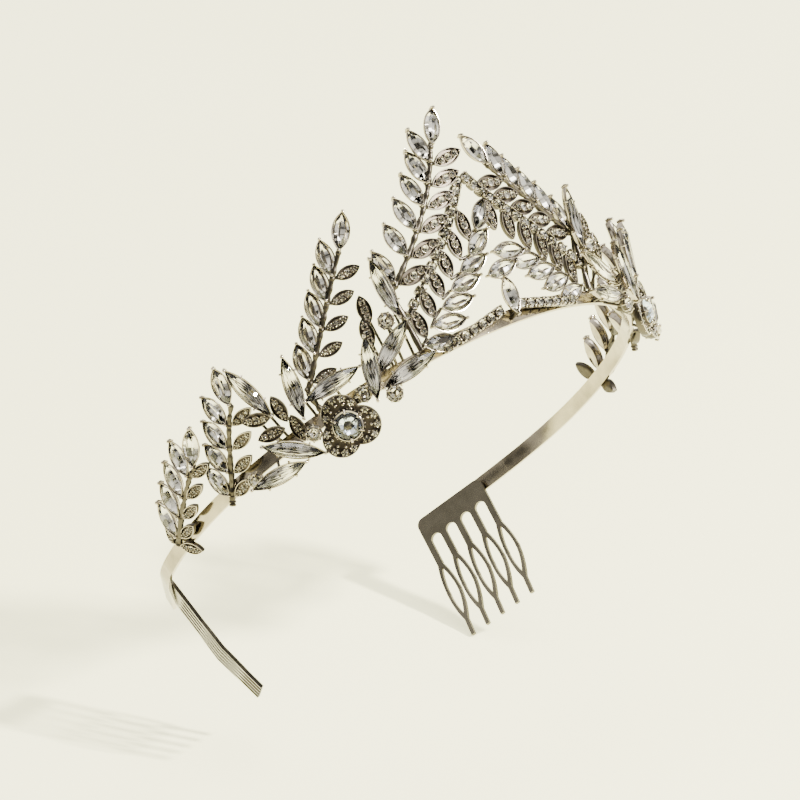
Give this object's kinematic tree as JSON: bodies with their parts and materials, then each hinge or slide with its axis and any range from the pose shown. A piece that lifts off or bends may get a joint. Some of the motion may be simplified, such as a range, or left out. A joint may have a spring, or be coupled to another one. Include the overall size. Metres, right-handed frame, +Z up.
{
  "type": "bridal tiara",
  "caption": "Bridal tiara: a springy metal headband with hair combs at its ends and leafy sprays of crystals, paved leaves, claw chains and flowers on its front.",
  "frame": {"origin": "centre of the headband's arc, half way up the strip, where the head goes", "axes": "+Z up as worn, -Y the front, +X towards the wearer's left ear; the strip's plane is tipped back 52 degrees from level"},
  "size_m": [0.1416, 0.0813, 0.1612],
  "materials": {
    "silver_metal": "polished plating with a slight warm tone",
    "comb_metal": "polished plating on stamped sheet",
    "antique_metal": "polished plating with darkened recesses",
    "crystal": "clear faceted glass with a foil back",
    "round_crystal": "clear round brilliant of a cool white",
    "small_crystal": "small clear round stones with foil backs"
  },
  "bodies": {
    "root": {"headband": "silver_metal", "comb_left": "comb_metal", "comb_right": "comb_metal", "centre_setting": "silver_metal", "centre_stones": "crystal", "band_chain_left": "silver_metal", "band_chain_right": "silver_metal", "band_chain_stones_left": "small_crystal", "band_chain_stones_right": "small_crystal", "arch_chain_left": "silver_metal", "arch_chain_right": "silver_metal", "arch_stones_left": "small_crystal", "arch_stones_right": "small_crystal", "tall_spray_left": "silver_metal", "tall_spray_right": "silver_metal", "tall_spray_crystals_left": "crystal", "tall_spray_crystals_right": "crystal", "tall_spray_pave_left": "small_crystal", "tall_spray_pave_right": "small_crystal", "inner_spray_left": "silver_metal", "inner_spray_right": "silver_metal", "inner_spray_crystals_left": "crystal", "inner_spray_crystals_right": "crystal", "inner_spray_pave_left": "small_crystal", "inner_spray_pave_right": "small_crystal", "high_spray": "silver_metal", "high_spray_crystals": "crystal", "high_spray_pave": "small_crystal", "middle_spray_left": "silver_metal", "middle_spray_right": "silver_metal", "middle_spray_crystals_left": "crystal", "middle_spray_crystals_right": "crystal", "middle_spray_pave_left": "small_crystal", "middle_spray_pave_right": "small_crystal", "low_spray_left": "silver_metal", "low_spray_right": "silver_metal", "low_spray_crystals_left": "crystal", "low_spray_crystals_right": "crystal", "low_spray_pave_left": "small_crystal", "low_spray_pave_right": "small_crystal", "flower_left": "antique_metal", "flower_right": "antique_metal", "flower_stone_left": "round_crystal", "flower_stone_right": "round_crystal", "flower_pave_left": "small_crystal", "flower_pave_right": "small_crystal", "fan_settings_left": "silver_metal", "fan_settings_right": "silver_metal", "fan_crystals_left": "crystal", "fan_crystals_right": "crystal", "cluster_settings_left": "silver_metal", "cluster_settings_right": "silver_metal", "cluster_crystals_left": "crystal", "cluster_crystals_right": "crystal"}
  },
  "joints": []
}
